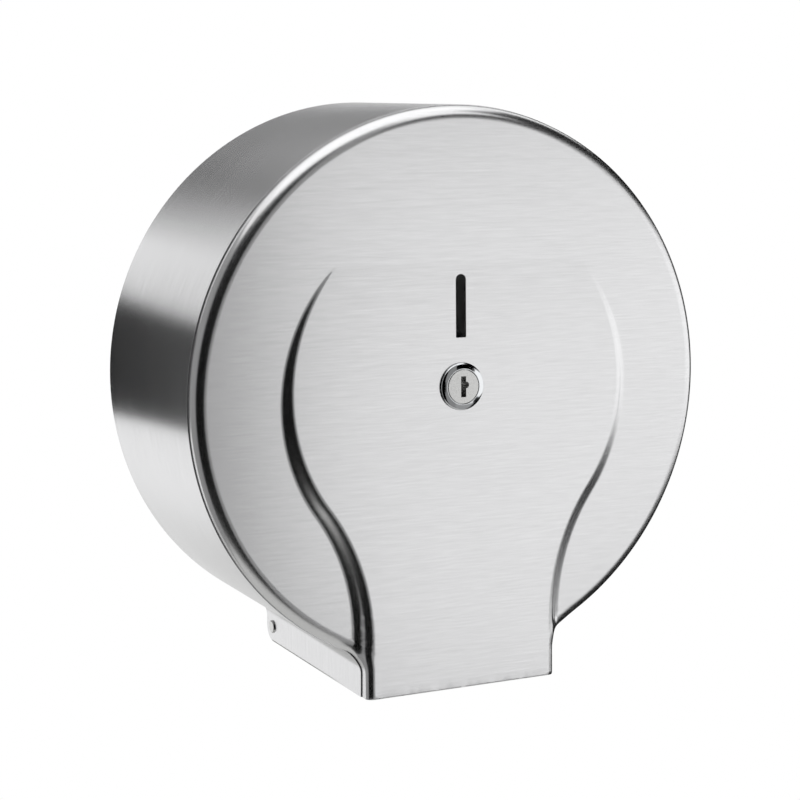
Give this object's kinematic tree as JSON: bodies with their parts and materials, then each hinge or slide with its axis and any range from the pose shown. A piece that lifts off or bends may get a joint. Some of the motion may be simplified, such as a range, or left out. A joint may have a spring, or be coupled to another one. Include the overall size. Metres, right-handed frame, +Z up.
{
  "type": "jumbo toilet roll dispenser",
  "caption": "Round wall-mounted dispenser for jumbo paper rolls, with a sheet steel cover that swings forward, a cam lock, a level slot and a paper outlet at the bottom.",
  "frame": {"origin": "centre of the round drum on the wall plane, the middle of the four fixing holes at the back plate's rear face", "axes": "+X to the viewer's right, +Y into the wall, +Z up"},
  "size_m": [0.26, 0.12, 0.269],
  "materials": {
    "satin_stainless": "stainless sheet, satin brushed",
    "bright_stainless": "turned stainless steel, smooth",
    "zinc_steel": "bright zinc-plated steel",
    "black_steel": "black oxide on steel",
    "chrome_plate": "polished chrome plate",
    "nickel_plate": "satin nickel plate",
    "white_nylon": "natural nylon",
    "grey_moulding": "moulded ABS, fine spark texture"
  },
  "bodies": {
    "wall_unit": {"back_plate": "satin_stainless", "spindle_flange": "zinc_steel", "spindle_tube": "zinc_steel", "flange_rivets": "zinc_steel", "tube_plug": "zinc_steel", "thrust_washer": "white_nylon", "front_washer": "white_nylon", "latch_catch": "zinc_steel", "catch_washer": "zinc_steel", "catch_screw": "black_steel"},
    "cover": {"cover_front": "satin_stainless", "cover_band": "satin_stainless", "tear_strip": "satin_stainless", "hinge_pin_left": "bright_stainless", "hinge_pin_right": "bright_stainless", "hinge_washers": "white_nylon", "hinge_clips": "black_steel", "lock_housing": "chrome_plate", "lock_washer": "zinc_steel", "lock_nut": "zinc_steel"},
    "lock_plug_body": {"lock_plug": "nickel_plate", "lock_cam": "zinc_steel", "cam_washer": "zinc_steel", "cam_screw": "black_steel"},
    "hub": {"core_hub": "grey_moulding"}
  },
  "joints": [
    {"name": "cover_hinge", "type": "hinge", "parent": "wall_unit", "child": "cover", "pos_m": [0, -0.008, -0.1315], "axis": [1, 0, 0], "range_deg": [0, 90]},
    {"name": "lock_turn", "type": "hinge", "parent": "cover", "child": "lock_plug_body", "pos_m": [0, -0.11572, 0.0024], "axis": [0, 0.9995, -0.0303], "range_deg": [0, 90]},
    {"name": "hub_spin", "type": "hinge", "parent": "wall_unit", "child": "hub", "pos_m": [0, -0.045, 0], "axis": [0, -1, 0], "continuous": true}
  ]
}
